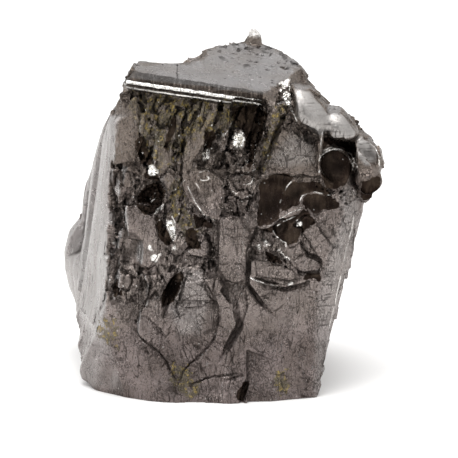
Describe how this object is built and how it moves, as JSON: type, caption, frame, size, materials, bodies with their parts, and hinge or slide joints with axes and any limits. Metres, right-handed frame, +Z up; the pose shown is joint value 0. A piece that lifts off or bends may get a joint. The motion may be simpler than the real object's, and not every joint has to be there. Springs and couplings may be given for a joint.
{
  "type": "shungite stone",
  "caption": "Palm-sized lump of glassy black-grey shungite with a broken, shell-shaped front, flat cleaved sides and a flat base that it stands on.",
  "frame": {"origin": "on the flat base, under the middle of the stone's width, 14 mm behind its front foot", "axes": "+X to the right along the broad front, +Y towards the back, +Z up from the flat base; the front faces -Y"},
  "size_m": [0.0394, 0.0331, 0.0417],
  "materials": {
    "shungite": "glassy, half-metallic fresh break, fine scratches, a little olive-gold staining in the cracks"
  },
  "bodies": {
    "root": {"shungite_stone": "shungite"}
  },
  "joints": []
}
